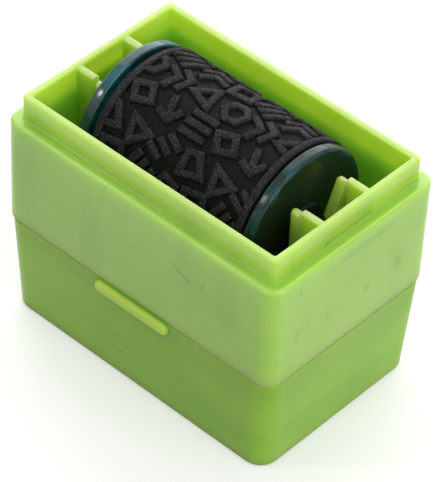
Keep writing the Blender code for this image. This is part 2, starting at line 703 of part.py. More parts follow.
def end_cap_profile():
    """Section of an end cap from its inner face on the axis round the flange to the stub's tip."""
    edge = FLANGE_EDGE_RADIUS
    plug_bore = PLUG_RADIUS - PLUG_WALL
    points = [(FLANGE_INNER_X, 0.0), (FLANGE_INNER_X, plug_bore), (COLLAR_X - PLUG_LENGTH, plug_bore)]
    points += [(COLLAR_X - PLUG_LENGTH, PLUG_RADIUS), (COLLAR_X, PLUG_RADIUS)]
    points += [(COLLAR_X, COLLAR_RADIUS), (FLANGE_INNER_X, COLLAR_RADIUS)]
    points += arc((FLANGE_INNER_X + edge, FLANGE_RADIUS - edge), edge, 180.0, 90.0, SMALL_EDGE_STEPS)
    points += arc((FLANGE_OUTER_X - edge, FLANGE_RADIUS - edge), edge, 90.0, 0.0, SMALL_EDGE_STEPS)
    points += [(FLANGE_OUTER_X, HUB_RADIUS), (HUB_X, HUB_RADIUS), (HUB_X, STUB_RADIUS)]
    tip_centre = (STUB_TIP_X - STUB_EDGE_RADIUS, STUB_RADIUS - STUB_EDGE_RADIUS)
    points += arc(tip_centre, STUB_EDGE_RADIUS, 90.0, 0.0, SMALL_EDGE_STEPS)
    points.append((STUB_TIP_X, 0.0))
    return points


def make_roller(teal, rubber, felt, core):
    """Roller: two end caps, the core tube between them, the ink felt and the printing sleeve."""
    axle = bpy.data.objects.new("roller_axis", None)
    axle.location = (-ROLLER_OFF_CENTRE, 0.0, AXIS_Z)
    axle.empty_display_size = FLANGE_RADIUS
    bpy.context.scene.collection.objects.link(axle)
    core_ring = plain_sleeve(CORE_INNER_RADIUS, CORE_OUTER_RADIUS)
    felt_ring = plain_sleeve(FELT_INNER_RADIUS, FELT_OUTER_RADIUS)
    pieces = [
        make_object("end_cap_left", revolve(end_cap_profile(), TURN_STEPS, mirrored=True), teal),
        make_object("end_cap_right", revolve(end_cap_profile(), TURN_STEPS), teal),
        make_object("roller_core", revolve(core_ring, SLEEVE_STEPS), core),
        make_object("ink_felt", revolve(felt_ring, SLEEVE_STEPS), felt),
        make_object("stamp_die", make_sleeve(), rubber),
    ]
    for piece in pieces:
        piece.parent = axle
    return axle


def main():
    for thing in list(bpy.data.objects):
        bpy.data.objects.remove(thing)
    make_body(make_material("body_lime", LIME, 0.28))
    make_cap(make_material("cap_lime", LIME, 0.28))
    make_cradle(make_material("cradle_lime", LIME, 0.32))
    make_roller(
        make_material("end_cap_teal", TEAL, 0.2),
        make_material("die_rubber", RUBBER_BLACK, 0.55),
        make_material("felt_black", FELT_BLACK, 0.95),
        make_material("core_grey", CORE_GREY, 0.45),
    )


main()
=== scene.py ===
"""Looks of the roller stamp: finer marks and end caps, materials, white table and studio light.

Everything is in metres in the CAD frame. The CAD solids are shown as they are, apart from two
kinds: the printing sleeve gets marks with rounded strokes, and the roller's end caps are turned
in finer steps with rounded rims.
"""
import math

import bmesh
import bpy
import numpy as np
from mathutils import Matrix, Vector
from mathutils.geometry import delaunay_2d_cdt


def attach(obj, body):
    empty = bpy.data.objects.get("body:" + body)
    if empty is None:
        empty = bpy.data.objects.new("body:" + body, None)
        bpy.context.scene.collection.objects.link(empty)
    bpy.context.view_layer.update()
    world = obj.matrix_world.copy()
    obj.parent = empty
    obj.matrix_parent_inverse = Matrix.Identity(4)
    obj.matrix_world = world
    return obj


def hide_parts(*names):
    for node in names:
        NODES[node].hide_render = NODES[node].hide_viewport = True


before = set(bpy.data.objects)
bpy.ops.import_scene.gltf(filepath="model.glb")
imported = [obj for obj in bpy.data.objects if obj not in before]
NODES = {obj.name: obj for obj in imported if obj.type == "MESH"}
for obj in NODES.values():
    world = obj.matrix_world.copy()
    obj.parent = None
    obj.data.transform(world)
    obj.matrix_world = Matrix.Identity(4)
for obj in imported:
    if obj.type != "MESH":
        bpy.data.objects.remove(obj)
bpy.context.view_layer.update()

MM = 0.001
AXIS_Z = 37.0 * MM
TOP_RADIUS = 14.0 * MM
GROUND_RADIUS = 13.35 * MM

# Camera, fitted to the photograph's edges (a 434 x 482 frame)
FRAME_WIDTH = 434
FOCAL_PIXELS = 3108.7
SENSOR = 36.0
AZIMUTH = math.radians(40.75)
ELEVATION = math.radians(43.09)
ROLL = math.radians(3.13)
AIM = Vector((0.0, 0.0, 22.0 * MM))
DISTANCE = 518.18 * MM
AIM_RIGHT = -0.37 * MM
AIM_UP = 1.0 * MM
CLIP_START = 0.02
CLIP_END = 20.0


def make_camera():
    """Camera at the photograph's viewing angle."""
    back = Vector((
        math.sin(AZIMUTH) * math.cos(ELEVATION),
        -math.cos(AZIMUTH) * math.cos(ELEVATION),
        math.sin(ELEVATION),
    ))
    level = Vector((math.cos(AZIMUTH), math.sin(AZIMUTH), 0.0))
    rise = back.cross(level)
    right = level * math.cos(ROLL) + rise * math.sin(ROLL)
    up = rise * math.cos(ROLL) - level * math.sin(ROLL)
    data = bpy.data.cameras.new("camera")
    data.sensor_fit = "HORIZONTAL"
    data.sensor_width = SENSOR
    data.lens = SENSOR * FOCAL_PIXELS / FRAME_WIDTH
    data.clip_start = CLIP_START
    data.clip_end = CLIP_END
    camera = bpy.data.objects.new("camera", data)
    bpy.context.scene.collection.objects.link(camera)
    turn = Matrix((right, up, back)).transposed().to_4x4()
    place = AIM + back * DISTANCE - right * AIM_RIGHT - up * AIM_UP
    camera.matrix_world = Matrix.Translation(place) @ turn
    bpy.context.scene.camera = camera


# Node helpers


def new_material(name):
    """An empty node material: the material, its tree and its Principled shader."""
    material = bpy.data.materials.new(name)
    material.use_nodes = True
    tree = material.node_tree
    return material, tree, tree.nodes["Principled BSDF"]


def connect(tree, socket, value):
    """Give a socket the output of another node, or a plain value."""
    if isinstance(value, bpy.types.NodeSocket):
        tree.links.new(value, socket)
    else:
        socket.default_value = value


def add(tree, kind, settings=None, **sockets):
    """Add a node. Sockets take numbers, tuples or the output of another node."""
    node = tree.nodes.new(kind)
    for key, value in (settings or {}).items():
        setattr(node, key, value)
    for key, value in sockets.items():
        connect(tree, node.inputs[key.replace("_", " ")], value)
    return node


def finish_shader(tree, shader, colour, roughness, normal):
    """Give a Principled shader its colour, roughness and bump."""
    connect(tree, shader.inputs["Base Color"], colour)
    connect(tree, shader.inputs["Roughness"], roughness)
    connect(tree, shader.inputs["Normal"], normal)


def noise(tree, place, scale, octaves=3.0, roughness=0.5):
    """Noise between 0 and 1, with its scale in repeats per metre."""
    made = add(
        tree, "ShaderNodeTexNoise", Vector=place, Scale=scale, Detail=octaves, Roughness=roughness
    )
    return made.outputs["Fac"]


def ramp(tree, value, low, high, to_low=0.0, to_high=1.0):
    """Map a value smoothly from one range to another, clamped."""
    made = add(
        tree, "ShaderNodeMapRange", {"interpolation_type": "SMOOTHSTEP"},
        Value=value, From_Min=low, From_Max=high, To_Min=to_low, To_Max=to_high,
    )
    return made.outputs["Result"]


def mix_colour(tree, factor, first, second):
    """Mix two colours. The Mix node has inputs of the same name, so they go by number."""
    made = add(tree, "ShaderNodeMix", {"data_type": "RGBA"})
    for number, value in ((0, factor), (6, first), (7, second)):
        connect(tree, made.inputs[number], value)
    return made.outputs[2]


def maths(tree, operation, first, second=0.0):
    """One Math node."""
    made = add(tree, "ShaderNodeMath", {"operation": operation})
    for socket, value in zip(made.inputs, (first, second)):
        connect(tree, socket, value)
    return made.outputs[0]


def vector_maths(tree, operation, first, second=(0.0, 0.0, 0.0)):
    """One Vector Math node."""
    made = add(tree, "ShaderNodeVectorMath", {"operation": operation})
    for socket, value in zip(made.inputs, (first, second)):
        connect(tree, socket, value)
    return made.outputs["Value" if operation in ("DISTANCE", "LENGTH") else "Vector"]


def stretched(tree, place, scale, turn=(0.0, 0.0, 0.0)):
    """Coordinates turned and stretched."""
    made = add(tree, "ShaderNodeMapping", Vector=place, Rotation=turn, Scale=scale)
    return made.outputs["Vector"]


def shifted(tree, place, shift):
    """Coordinates moved along X, so that two pieces don't show the same part of a pattern."""
    made = add(tree, "ShaderNodeMapping", Vector=place, Location=(shift, 0.0, 0.0))
    return made.outputs["Vector"]


def bump(tree, height, distance, normal=None):
    """Bump from a height between 0 and 1, its distance in metres, on top of another if given."""
    made = add(tree, "ShaderNodeBump", Height=height, Distance=distance, Strength=1.0)
    if normal:
        tree.links.new(normal, made.inputs["Normal"])
    return made.outputs["Normal"]


def place_in(tree):
    """The piece's own coordinates, in metres."""
    return add(tree, "ShaderNodeTexCoord").outputs["Object"]


def axle_places(tree):
    """Place along the roller's axis, across it and above it."""
    apart = add(tree, "ShaderNodeSeparateXYZ", Vector=place_in(tree))
    rise = maths(tree, "SUBTRACT", apart.outputs["Z"], AXIS_Z)
    return apart.outputs["X"], apart.outputs["Y"], rise


def axle_distance(tree):
    """Distance from the roller's axis, in metres."""
    _, across, rise = axle_places(tree)
    squares = [maths(tree, "MULTIPLY", value, value) for value in (across, rise)]
    return maths(tree, "SQRT", maths(tree, "ADD", *squares))


def round_axle(tree, shift):
    """Coordinates that run with the roller: along it, round a small circle, out from its axis."""
    along, across, rise = axle_places(tree)
    turn = maths(tree, "MULTIPLY", maths(tree, "ARCTAN2", across, rise), STREAK_CIRCLE)
    made = add(tree, "ShaderNodeCombineXYZ", X=along, Y=turn, Z=axle_distance(tree))
    return shifted(tree, made.outputs[0], shift)


# Lime plastic. A pattern's numbers are the arguments of noise() after its place.

LIME = (0.360, 0.605, 0.078, 1.0)
LIME_DEEP = (0.330, 0.575, 0.067, 1.0)
# Painted shade: the cap's lime is a darker, less red copy of the body's, standing in for the dimmer
# reflection of the shaded table near the base
LIME_CAP_SHADED = (0.305, 0.575, 0.058, 1.0)
LIME_CAP_DEEP_SHADED = (0.262, 0.53, 0.048, 1.0)
# Painted light: the cradle deep in the well gets a lighter copy of the lime, to make up for light
# the well keeps from it
LIME_CRADLE_LIT = (0.460, 0.75, 0.100, 1.0)
# Painted light: the cap's lip, where it stands out past the walls, is tinted lighter lime as if lit
LIME_LIP_LIT = (0.450, 0.75, 0.088, 1.0)
LIP_Y = (-19.75 * MM, -20.0 * MM)  # where the lip's tint starts, and where it is full
LIME_CLOUD = (70.0, 2.0)
LIME_DRAWN = (190.0, 1.0)
LIME_BLOTCH = (110.0, 0.5)
LIME_BROKEN = (500.0, 2.0)
LIME_WOBBLE = (600.0, 1.0)
LIME_RUBBED = (90.0, 1.0)
LIME_WAVE = (75.0, 1.0)
LIME_RIPPLE = (300.0, 0.0)
WAVE_DEPTH = 0.08 * MM
RIPPLE_DEPTH = 0.0008 * MM
PLASTIC_IOR = 1.5
GLOW_DEPTH = 7.2 * MM
GLOW_SHARES = (1.0, 1.06, 0.42)  # of the depth, for red, green and blue
SCUFF = (0.23, 0.43, 0.050, 1.0)
SCRATCH = (0.16, 0.36, 0.035, 1.0)
SCRATCH_HALF = (0.06 * MM, 0.20 * MM)  # half width of its dark middle, and of all of it
SCRATCH_WOBBLE = 0.9 * MM
BODY_SMEARS = (
    # middle and half sizes
    ((30.0 * MM, 11.1 * MM, 28.6 * MM), (1.0 * MM, 1.5 * MM, 2.4 * MM)),
    ((30.0 * MM, 3.5 * MM, 27.9 * MM), (1.0 * MM, 1.4 * MM, 1.7 * MM)),
    ((30.0 * MM, -6.3 * MM, 28.4 * MM), (1.0 * MM, 1.0 * MM, 1.8 * MM)),
    ((30.0 * MM, -13.4 * MM, 38.4 * MM), (1.0 * MM, 0.7 * MM, 1.8 * MM)),
    ((30.0 * MM, -13.5 * MM, 28.5 * MM), (1.0 * MM, 0.9 * MM, 2.8 * MM)),
    ((30.0 * MM, 2.5 * MM, 38.7 * MM), (1.0 * MM, 13.0 * MM, 1.2 * MM)),
    ((-30.0 * MM, 6.0 * MM, 30.0 * MM), (1.0 * MM, 1.4 * MM, 2.6 * MM)),
    ((-12.0 * MM, 19.7 * MM, 26.0 * MM), (2.2 * MM, 1.0 * MM, 1.4 * MM)),
)
BODY_SCRATCHES = (
    # middle of the scratch, from there to the centre of its bend (along and up), reach
    ((10.6 * MM, -19.7 * MM, 33.4 * MM), (-1.5 * MM, -5.0 * MM), 2.8 * MM),
    ((9.6 * MM, -19.7 * MM, 33.7 * MM), (1.6 * MM, 4.0 * MM), 2.0 * MM),
    ((14.9 * MM, -19.7 * MM, 33.5 * MM), (8.0 * MM, 0.0), 1.3 * MM),
    ((-21.0 * MM, 19.7 * MM, 30.0 * MM), (2.0 * MM, 6.5 * MM), 2.6 * MM),
)
CAP_SCRATCHES = (
    ((-4.0 * MM, -19.0 * MM, 6.0 * MM), (3.0 * MM, 14.0 * MM), 3.0 * MM),
)


def hair_scratch(tree, place, wobble, middle, to_centre, reach):
    """1 along a thin bent scratch through a point of a wall: a short piece of a wobbly ring."""
    x, y, z = middle
    along, rise = to_centre
    from_centre = vector_maths(tree, "DISTANCE", place, (x + along, y, z + rise))
    off = maths(tree, "SUBTRACT", maths(tree, "ADD", from_centre, wobble), math.hypot(along, rise))
    line = ramp(tree, maths(tree, "ABSOLUTE", off), *SCRATCH_HALF, 1.0, 0.0)
    from_middle = vector_maths(tree, "DISTANCE", place, middle)
    return maths(tree, "MULTIPLY", line, ramp(tree, from_middle, reach / 2, reach, 1.0, 0.0))


def soft_oval(tree, place, middle, sizes):
    """1 in the middle of a soft oval with the given half sizes, 0 outside it."""
    offset = vector_maths(tree, "SUBTRACT", place, middle)
    share = vector_maths(tree, "LENGTH", vector_maths(tree, "DIVIDE", offset, sizes))
    return ramp(tree, share, 0.2, 1.0, 1.0, 0.0)


def lime_material(name, colour, deep, shift, roughness, specular, smeared=(), scratched=()):
    """Glossy lime plastic that light enters: uneven tone, moulding waves, smears, scratches.

    Outside the scratches the roughness stays on one side of 0.27, where the render's denoiser
    changes its guides: a wall that crosses it gets faint rings.
    """
    material, tree, shader = new_material(name)
    piece = place_in(tree)
    place = shifted(tree, piece, shift)
    shader.inputs["Subsurface Weight"].default_value = 1.0
    shader.inputs["Subsurface Radius"].default_value = GLOW_SHARES
    shader.inputs["Subsurface Scale"].default_value = GLOW_DEPTH
    shader.inputs["IOR"].default_value = PLASTIC_IOR
    shader.inputs["Specular IOR Level"].default_value = specular

    cloud = noise(tree, place, *LIME_CLOUD)
    drawn = noise(tree, stretched(tree, place, (0.1, 0.1, 1.0)), *LIME_DRAWN)
    uneven = maths(tree, "MULTIPLY", maths(tree, "ADD", cloud, drawn), 0.5)
    tone = mix_colour(tree, ramp(tree, uneven, 0.38, 0.62), colour, deep)
    across = add(tree, "ShaderNodeSeparateXYZ", Vector=piece).outputs["Y"]
    # Painted highlight: the lip beyond LIP_Y is tinted lighter, standing in for light falling on
    # its top and front
    tone = mix_colour(tree, ramp(tree, across, *LIP_Y), tone, LIME_LIP_LIT)

    tilted = stretched(tree, place, (1.0, 1.0, 0.4), (0.7, 0.0, 0.0))
    blotch = ramp(tree, noise(tree, tilted, *LIME_BLOTCH), 0.57, 0.73)
    tone = mix_colour(tree, maths(tree, "MULTIPLY", blotch, 0.25), tone, SCUFF)
    broken = ramp(tree, noise(tree, place, *LIME_BROKEN), 0.3, 0.6, 0.25, 0.6)
    for middle, sizes in smeared:
        smear = maths(tree, "MULTIPLY", soft_oval(tree, piece, middle, sizes), broken)
        tone = mix_colour(tree, smear, tone, SCUFF)

    scratches = 0.0
    wobble = maths(tree, "SUBTRACT", noise(tree, place, *LIME_WOBBLE), 0.5)
    wobble = maths(tree, "MULTIPLY", wobble, SCRATCH_WOBBLE)
    for middle, to_centre, reach in scratched:
        line = hair_scratch(tree, piece, wobble, middle, to_centre, reach)
        tone = mix_colour(tree, maths(tree, "MULTIPLY", line, 0.7), tone, SCRATCH)
        scratches = maths(tree, "MAXIMUM", scratches, line)

    rubbed = noise(tree, place, *LIME_RUBBED)
    rubbed = ramp(tree, rubbed, 0.3, 0.7, roughness - 0.03, roughness + 0.04)
    rubbed = maths(tree, "ADD", rubbed, maths(tree, "MULTIPLY", scratches, 0.12))
    wave = bump(tree, noise(tree, place, *LIME_WAVE), WAVE_DEPTH)
    ripple = bump(tree, noise(tree, place, *LIME_RIPPLE), RIPPLE_DEPTH, wave)
    finish_shader(tree, shader, tone, rubbed, ripple)
    return material


# Teal plastic

TEAL = (0.010, 0.105, 0.115, 1.0)
# Darker teal for the right cap: partly dirt, partly painted shade for the cap that sits beside the
# housing's end wall
TEAL_DIRTY_AND_SHADED = (0.008, 0.045, 0.045, 1.0)
TEAL_CLOUDED = (0.009, 0.052, 0.056, 1.0)
# Near black: ink, and also painted shade where it covers the right cap's end face
TEAL_INK_AND_SHADE = (0.008, 0.013, 0.010, 1.0)
TEAL_CLOUD = (190.0, 3.0, 0.55)
TEAL_SPECK = (1500.0, 2.0)
TEAL_STAIN = (330.0, 3.0, 0.6)
TEAL_STREAK = (2400.0, 2.0)
TEAL_DENTS = (700.0, 1.0)
TEAL_PITS = (2600.0, 3.0, 0.6)
STREAK_CIRCLE = 1.6 * MM  # radius that a turn round the axis is shrunk to
INK_AND_SHADE_RAGGED = 2.4 * MM
INK_AND_SHADE_FADE = 0.5 * MM


def teal_material(name, colour, shift, specular, ink_and_shade_inside, stained, pitting):
    """Dark teal plastic: ink within a radius, elsewhere clouded, with stains, streaks, pits. Where
    the ink covers a whole end face, it is partly painted shade.
    """
    material, tree, shader = new_material(name)
    place = shifted(tree, place_in(tree), shift)
    shader.inputs["IOR"].default_value = PLASTIC_IOR
    shader.inputs["Specular IOR Level"].default_value = specular

    cloud = noise(tree, place, *TEAL_CLOUD)
    ragged = maths(tree, "MULTIPLY", maths(tree, "SUBTRACT", cloud, 0.5), INK_AND_SHADE_RAGGED)
    # Dark out to a radius: ink, and on the right cap's end face also painted shade
    from_axis = maths(tree, "ADD", axle_distance(tree), ragged)
    ink_and_shade = ramp(tree, from_axis, ink_and_shade_inside + INK_AND_SHADE_FADE, ink_and_shade_inside - INK_AND_SHADE_FADE)
    speck = ramp(tree, noise(tree, place, *TEAL_SPECK), 0.60, 0.70)
    stain = ramp(tree, noise(tree, place, *TEAL_STAIN), 0.50, 0.58)
    streak = ramp(tree, noise(tree, round_axle(tree, shift), *TEAL_STREAK), 0.50, 0.64)
    for mark, share in ((speck, 0.8), (stain, stained), (streak, stained * 0.8)):
        ink_and_shade = maths(tree, "MAXIMUM", ink_and_shade, maths(tree, "MULTIPLY", mark, share))
    clean = mix_colour(tree, ramp(tree, cloud, 0.4, 0.62), colour, TEAL_CLOUDED)
    tone = mix_colour(tree, ink_and_shade, clean, TEAL_INK_AND_SHADE)

    smooth = ramp(tree, cloud, 0.3, 0.7, 0.06, 0.14)
    rough = maths(tree, "ADD", smooth, maths(tree, "MULTIPLY", ink_and_shade, 0.11))
    dents = bump(tree, noise(tree, place, *TEAL_DENTS), pitting * 1.2)
    pits = bump(tree, noise(tree, place, *TEAL_PITS), pitting, dents)
    finish_shader(tree, shader, tone, rough, pits)
    return material


# Rubber, felt and the core

RUBBER = (0.030, 0.030, 0.031, 1.0)
RUBBER_GRAIN_GLINT = (0.068, 0.068, 0.069, 1.0)
RUBBER_DULL = (0.020, 0.020, 0.021, 1.0)
INK = (0.003, 0.003, 0.0035, 1.0)
INK_DRY = (0.008, 0.008, 0.008, 1.0)
RUBBER_FINE = (3400.0, 3.0, 0.6)
RUBBER_COARSE = (900.0, 3.0, 0.6)
RUBBER_PATCH = (200.0, 3.0)
RUBBER_WORN = (GROUND_RADIUS + 0.15 * MM, TOP_RADIUS - 0.06 * MM)  # from wet to fully worn
COARSE_DEPTH = 0.14 * MM
FINE_DEPTH = 0.10 * MM
RUBBER_IOR = 1.45
FELT = (0.006, 0.006, 0.007, 1.0)
FELT_PALE = (0.02, 0.02, 0.022, 1.0)
FELT_FIBRE = (3000.0, 4.0, 0.7)
FELT_DEPTH = 0.12 * MM
CORE = (0.06, 0.085, 0.095, 1.0)
CORE_PALE = (0.08, 0.11, 0.12, 1.0)
CORE_CLOUD = (300.0, 3.0)
CORE_GRAIN = (2500.0, 3.0)
CORE_DEPTH = 0.006 * MM


def rubber_material():
    """Inked microporous rubber: worn grey on the relief, near black between its strokes, with light
    specks that are partly grain and partly painted glints.
    """
    material, tree, shader = new_material("die_rubber_inked")
    shader.inputs["IOR"].default_value = RUBBER_IOR
    shader.inputs["Specular IOR Level"].default_value = 0.1
    place = place_in(tree)
    height = ramp(tree, axle_distance(tree), *RUBBER_WORN)
    fine = noise(tree, place, *RUBBER_FINE)
    coarse = noise(tree, place, *RUBBER_COARSE)
    patch = noise(tree, place, *RUBBER_PATCH)
    worn = mix_colour(tree, ramp(tree, patch, 0.35, 0.65), RUBBER, RUBBER_DULL)
    worn = mix_colour(tree, ramp(tree, fine, 0.40, 0.54), INK_DRY, worn)
    # Light specks on the worn relief: partly grain, partly painted glints where light would catch
    # the pores' edges
    worn = mix_colour(tree, ramp(tree, fine, 0.58, 0.66), worn, RUBBER_GRAIN_GLINT)
    wet = mix_colour(tree, ramp(tree, coarse, 0.4, 0.62), INK, INK_DRY)
    # Light specks in the wet ink between the strokes: partly grain, partly painted glints
    wet = mix_colour(tree, ramp(tree, fine, 0.60, 0.68, 0.0, 0.7), wet, RUBBER)
    grain = bump(tree, fine, FINE_DEPTH, bump(tree, coarse, COARSE_DEPTH))
    rough = ramp(tree, coarse, 0.3, 0.7, 0.45, 0.75)
    finish_shader(tree, shader, mix_colour(tree, height, wet, worn), rough, grain)
    return material


def felt_material():
    """Felt soaked with ink."""
    material, tree, shader = new_material("felt_inked")
    fibre = noise(tree, stretched(tree, place_in(tree), (0.4, 1.0, 1.0)), *FELT_FIBRE)
    tone = mix_colour(tree, fibre, FELT, FELT_PALE)
    rough = ramp(tree, fibre, 0.3, 0.7, 0.8, 1.0)
    finish_shader(tree, shader, tone, rough, bump(tree, fibre, FELT_DEPTH))
    return material


def core_material():
    """Grey moulded tube."""
    material, tree, shader = new_material("core_moulded")
    place = place_in(tree)
    cloud = noise(tree, place, *CORE_CLOUD)
    grain = bump(tree, noise(tree, place, *CORE_GRAIN), CORE_DEPTH)
    tone = mix_colour(tree, cloud, CORE, CORE_PALE)
    finish_shader(tree, shader, tone, ramp(tree, cloud, 0.3, 0.7, 0.35, 0.5), grain)
    return material


def dress_solids():
    """Give each CAD solid that is shown its finished material."""
    finishes = {
        "body_shell": lime_material(
            "lime_body", LIME, LIME_DEEP, shift=0.0, roughness=0.225, specular=0.62,
            smeared=BODY_SMEARS, scratched=BODY_SCRATCHES,
        ),
        # The cap gets the darker copy of the lime: painted shade
        "cap": lime_material(
            "lime_cap", LIME_CAP_SHADED, LIME_CAP_DEEP_SHADED, shift=0.31, roughness=0.315, specular=0.22,
            scratched=CAP_SCRATCHES,
        ),
        # The cradle gets the lighter copy of the lime: painted light
        "roller_cradle": lime_material(
            "lime_cradle", LIME_CRADLE_LIT, LIME, shift=0.67, roughness=0.225, specular=0.5,
        ),
        "ink_felt": felt_material(),
        "roller_core": core_material(),
    }
    for name, material in finishes.items():
        for slot in NODES[name].material_slots:
            slot.material = material


# Pieces made from a mesh


def make_piece(bm, name, sharp, material):
    """Turn a closed bmesh into a smooth object whose edges above an angle stay sharp."""
    bmesh.ops.recalc_face_normals(bm, faces=bm.faces[:])
    for face in bm.faces:
        face.smooth = True
    for edge in bm.edges:
        edge.smooth = edge.calc_face_angle(math.pi) < sharp
    loose = sum(1 for edge in bm.edges if not edge.is_manifold)
    print(name, "faces", len(bm.faces), "open edges", loose)
    mesh = bpy.data.meshes.new(name)
    bm.to_mesh(mesh)
    bm.free()
    mesh.materials.append(material)
    piece = bpy.data.objects.new(name, mesh)
    bpy.context.scene.collection.objects.link(piece)
    return piece


# Relief of the printing sleeve: the source's own marks, with rounded strokes and a finer curve

SLEEVE_LENGTH = 32.7 * MM
SLEEVE_X = 0.1 * MM
SLEEVE_ROUND = math.tau * TOP_RADIUS
BORE_RADIUS = 12.4 * MM
STROKE_WIDTH = 1.25 * MM
MARK_SIZE = 5.4 * MM
MARK_COLUMNS = 15
MARK_ROWS = 5
END_BAND = 1.3 * MM
SLEEVE_SEAM = 0.6 * MM
RELIEF_HALF = SLEEVE_LENGTH / 2 - END_BAND
STRIPS = 168  # flat strips round the sleeve
SAME_POINT = 0.0002 * MM
DIE_SHARP = math.radians(30.0)

# How far outside a stroke's outline, and how far below its top
LEVELS = (
    (-0.30 * MM, 0.0),
    (-0.14 * MM, 0.04 * MM),
    (0.0, 0.17 * MM),
    (0.09 * MM, 0.38 * MM),
    (0.20 * MM, TOP_RADIUS - GROUND_RADIUS),
)
# The rounded edge at each end: how far in from the end, and how far below the top
END_EDGE = ((0.5 * MM, 0.0), (0.25 * MM, 0.067 * MM), (0.067 * MM, 0.25 * MM), (0.0, 0.5 * MM))

# Strokes of each mark, as shares of half its size
MARK_SHARES = {
    "chevrons": [
        [(-0.96, -0.05), (0.0, 0.69), (0.96, -0.05)],
        [(-0.96, -0.91), (0.0, -0.17), (0.96, -0.91)],
    ],
    "bars": [[(-0.96, level), (0.96, level)] for level in (-0.71, 0.0, 0.71)],
    "slants": [
        [(-0.47, 0.74), (0.87, 0.74)],
        [(-0.67, 0.0), (0.67, 0.0)],
        [(-0.87, -0.74), (0.47, -0.74)],
    ],
    "diamond": [[(0.0, 0.91), (-0.75, 0.0), (0.0, -0.91), (0.75, 0.0), (0.0, 0.91)]],
    "triangle": [[(0.0, 0.82), (-0.82, -0.57), (0.82, -0.57), (0.0, 0.82)]],
    "square": [[(-0.71, -0.71), (0.71, -0.71), (0.71, 0.71), (-0.71, 0.71), (-0.71, -0.71)]],
    "hexagon": [
        [(0.8, 0.0), (0.4, 0.7), (-0.4, 0.7), (-0.8, 0.0), (-0.4, -0.7), (0.4, -0.7), (0.8, 0.0)],
    ],
    "arrow": [[(-0.81, 0.1), (0.0, 0.76), (0.81, 0.1)], [(0.0, -0.96), (0.0, 0.48)]],
    "trapezium": [[(-0.42, 0.68), (-0.8, -0.68), (0.8, -0.68), (0.42, 0.68), (-0.42, 0.68)]],
}

# The marks of each column, with their turns in degrees
MARK_LAYOUT = (
    (("chevrons", 20), ("square", 10), ("bars", 60)),
    (("trapezium", 15), ("triangle", 40), ("slants", -30)),
    (("bars", 0), ("diamond", 70), ("arrow", 200)),
    (("hexagon", 10), ("chevrons", -70), ("triangle", -20)),
)


def stroke_paths():
    """Middle lines of all strokes, as (along, round) on the unrolled sleeve."""
    paths = []
    for column in range(MARK_COLUMNS):
        kinds = MARK_LAYOUT[column % len(MARK_LAYOUT)]
        middle_round = SLEEVE_ROUND * (column + 0.5) / MARK_COLUMNS
        for row in range(-1, MARK_ROWS + 1):
            kind, turn = kinds[(row + column // len(MARK_LAYOUT)) % len(kinds)]
            along = 2 * RELIEF_HALF * ((row + 0.5 + (column % 2) / 2) / MARK_ROWS - 0.5)
            place = Matrix.Translation((along, middle_round, 0.0))
            place = place @ Matrix.Rotation(math.radians(turn), 4, "Z")
            for path in MARK_SHARES[kind]:
                points = [place @ (Vector((*point, 0.0)) * MARK_SIZE / 2) for point in path]
                paths.append([point.to_2d() for point in points])
    return paths


def moved_sideways(path, distance):
    """A path moved sideways, mitred where it bends; a closed one comes back without its end."""
    closed = (path[0] - path[-1]).length < SAME_POINT
    points = path[:-1] if closed else path
    normals = [(b - a).orthogonal().normalized() for a, b in zip(path, path[1:])]
    before = normals[-1:] + normals[:-1] if closed else normals[:1] + normals
    after = normals if closed else normals + normals[-1:]
    moved = []
    for point, first, second in zip(points, before, after):
        mitre = (first + second).normalized()
        moved.append(point + mitre * distance / mitre.dot(first))
    return moved


def stroke_outlines(path, grow):
    """Outlines of one stroke grown all round: one for an open path, two for a closed one."""
    side = STROKE_WIDTH / 2 + grow
    if (path[0] - path[-1]).length < SAME_POINT:
        return [moved_sideways(path, side), moved_sideways(path, -side)]
    start = path[0] + (path[0] - path[1]).normalized() * grow
    end = path[-1] + (path[-1] - path[-2]).normalized() * grow
    longer = [start] + path[1:-1] + [end]
    return [moved_sideways(longer, side) + moved_sideways(longer, -side)[::-1]]


def clip_outline(outline, axis, limit, side):
    """The part of an outline on one side of a line across an axis of the unrolled sleeve."""
    kept = []
    for a, b in zip(outline, outline[1:] + outline[:1]):
        a_inside = (a[axis] - limit) * side >= 0
        if a_inside:
            kept.append(a)
        if a_inside != ((b[axis] - limit) * side >= 0):
            crossing = a.lerp(b, (limit - a[axis]) / (b[axis] - a[axis]))
            crossing[axis] = limit
            kept.append(crossing)
    return kept


def printed_outlines(path, grow):
    """Outlines of a stroke, cut off at the end bands and beside the sleeve's seam."""
    seam = SLEEVE_SEAM / 2 + LEVELS[-1][0] - grow
    limits = (
        # axis, limit, side to keep
        (0, RELIEF_HALF, -1),
        (0, -RELIEF_HALF, 1),
        (1, seam, 1),
        (1, SLEEVE_ROUND - seam, -1),
    )
    kept = []
    for outline in stroke_outlines(path, grow):
        for axis, limit, side in limits:
            outline = clip_outline(outline, axis, limit, side)
        if len(outline) > 2:
            kept.append(outline)
    return kept


def distance_to_area(points, outlines):
    """Distance of each point to an area's edge, negative inside the area."""
    nearest = np.full(len(points), SLEEVE_ROUND)
    inside = np.zeros(len(points), dtype=bool)
    for outline in outlines:
        for a, b in zip(outline, outline[1:] + outline[:1]):
            run = np.array(b - a)
            if run @ run < SAME_POINT**2:
                continue
            offset = points - np.array(a)
            along = np.clip(offset @ run / (run @ run), 0.0, 1.0)
            nearest = np.minimum(nearest, np.hypot(*(offset - along[:, None] * run).T))
            if run[1] != 0.0:
                crosses = (offset[:, 1] < 0.0) != (offset[:, 1] < run[1])
                inside ^= crosses & (offset[:, 0] < offset[:, 1] * run[0] / run[1])
    return np.where(inside, -nearest, nearest)


